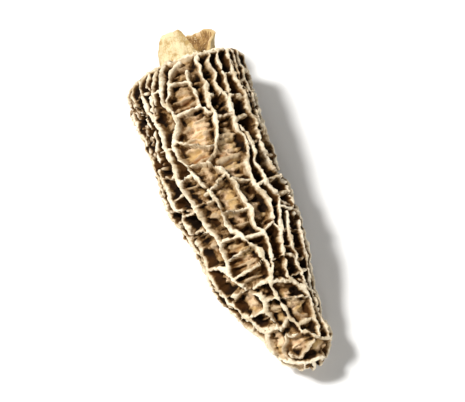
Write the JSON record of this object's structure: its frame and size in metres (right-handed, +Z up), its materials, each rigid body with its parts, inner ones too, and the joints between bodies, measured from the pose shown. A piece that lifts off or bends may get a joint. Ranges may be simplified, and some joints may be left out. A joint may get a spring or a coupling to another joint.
{
  "type": "morel mushroom",
  "caption": "Dried morel mushroom: hollow conical cap with long ridges and deep pits, short torn stem stub, lying on its side.",
  "frame": {"origin": "centre of the bounding box's underside, on the surface that the morel lies on", "axes": "+X along the body from the torn stem to the tip of the cap, +Y across it, +Z up"},
  "size_m": [0.0542, 0.0188, 0.0155],
  "materials": {
    "dried_flesh": "dry matt dried mushroom flesh: pale cream ridge crests, brown pits, straw-coloured stem"
  },
  "bodies": {
    "root": {"morel": "dried_flesh"}
  },
  "joints": []
}
